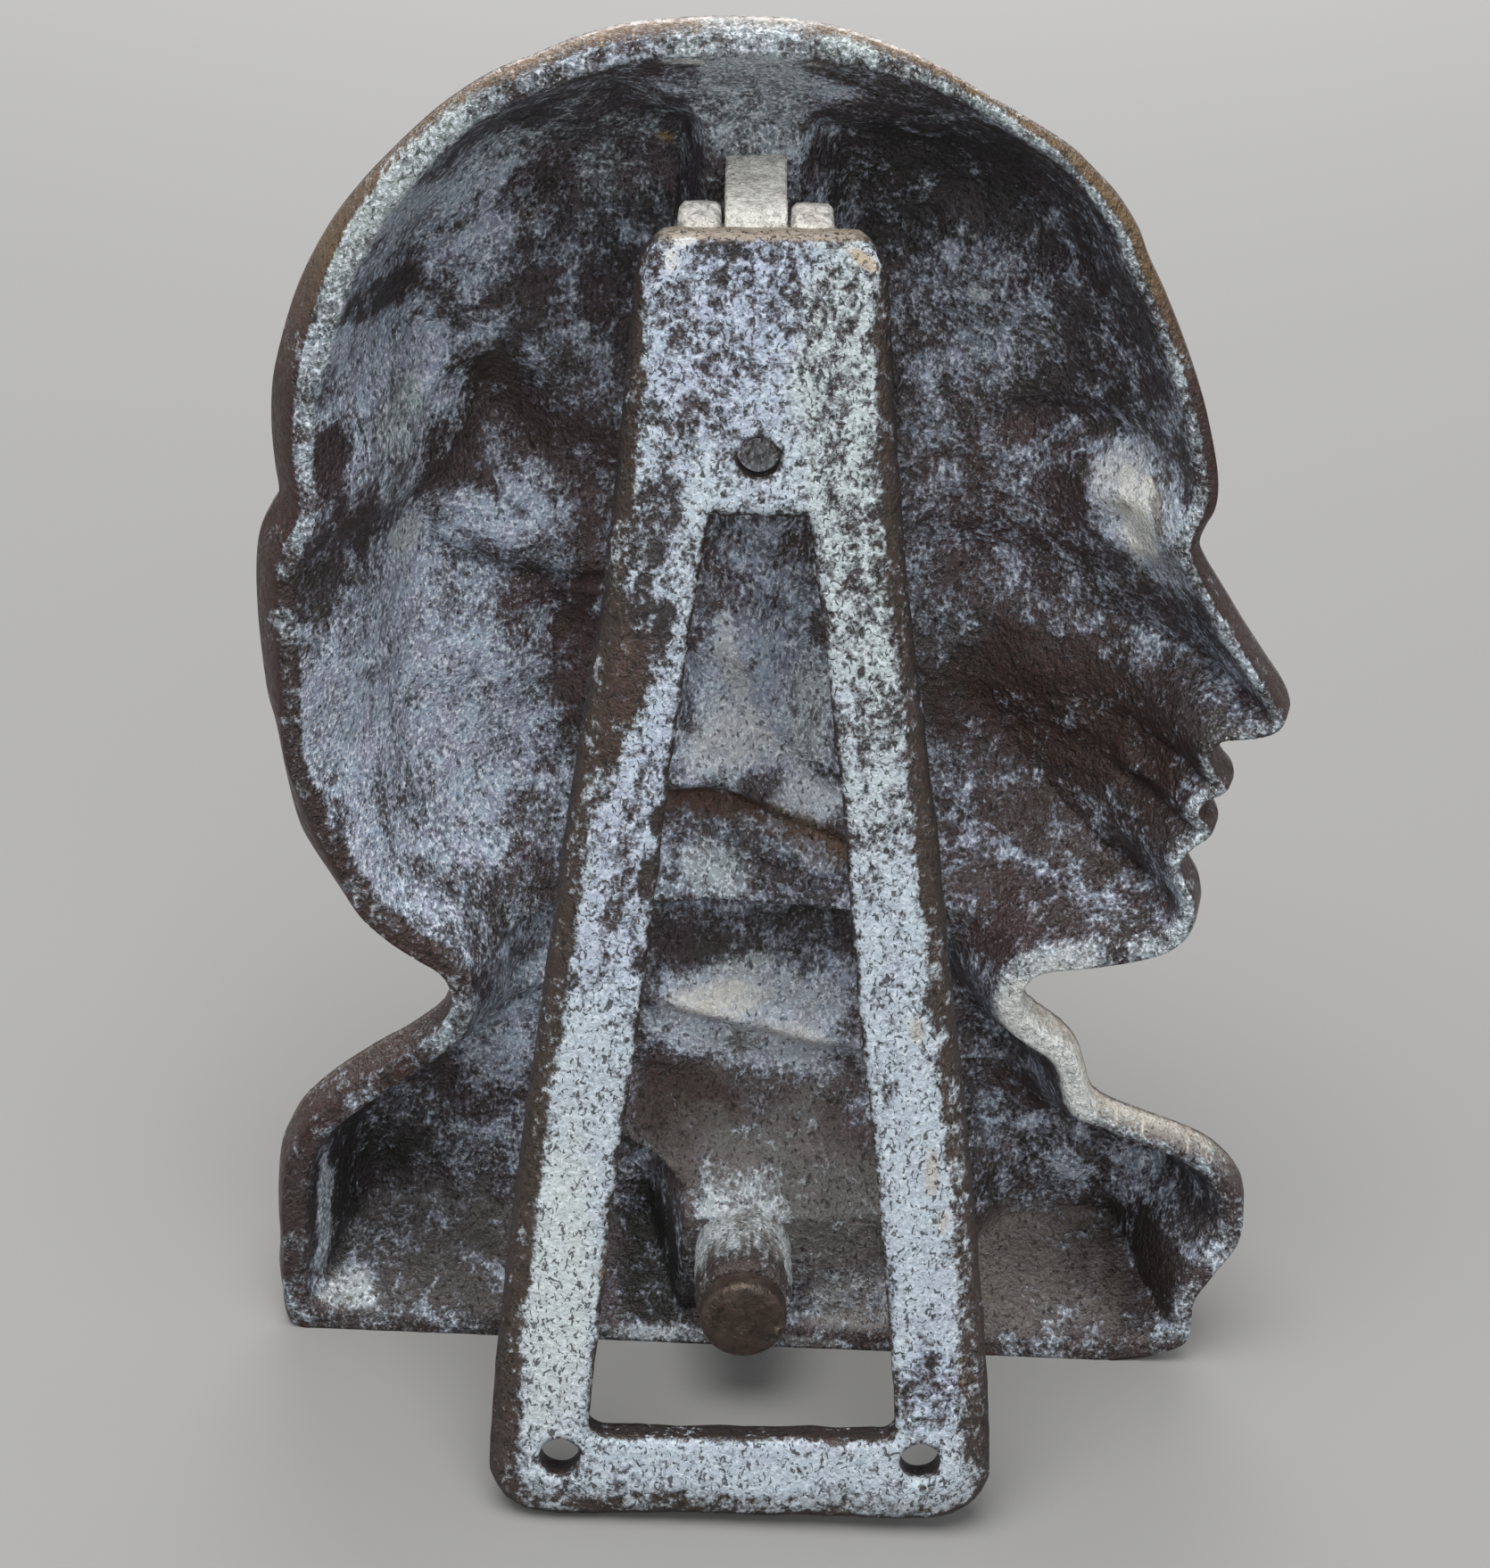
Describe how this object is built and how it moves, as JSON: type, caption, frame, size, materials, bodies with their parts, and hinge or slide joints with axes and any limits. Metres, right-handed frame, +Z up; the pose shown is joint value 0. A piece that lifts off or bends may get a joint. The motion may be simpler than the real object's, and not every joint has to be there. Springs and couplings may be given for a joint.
{
  "type": "bust door knocker",
  "caption": "Door knocker: a hollow-backed cast bust in profile swings on a pin in an A-shaped, slotted back plate and carries a striker stud.",
  "frame": {"origin": "middle of the object's box on the floor that the bust's flat base and the back plate's foot stand on", "axes": "+Z up; -Y is the hollow back and the plate's side, +Y the relief's side; +X is where the nose points"},
  "size_m": [0.1082, 0.0604, 0.1518],
  "materials": {
    "casting": "cast bronze, dark brown with pale verdigris bloom in the hollow back and on the rim",
    "stud": "turned, worn brown",
    "plate": "cast, pale mint verdigris with dark speckle, dark brown shoulders",
    "pin": "dull, slightly rusted"
  },
  "bodies": {
    "plate": {"back_plate": "plate", "hinge_pin": "pin"},
    "knocker": {"relief_casting": "casting", "striker_stud": "stud"}
  },
  "joints": [
    {"name": "knocker_swing", "type": "hinge", "parent": "plate", "child": "knocker", "pos_m": [-0.00505, 0.00541, 0.13], "axis": [0.9995, 0, 0.0314], "range_deg": [-12.2, 75]}
  ]
}
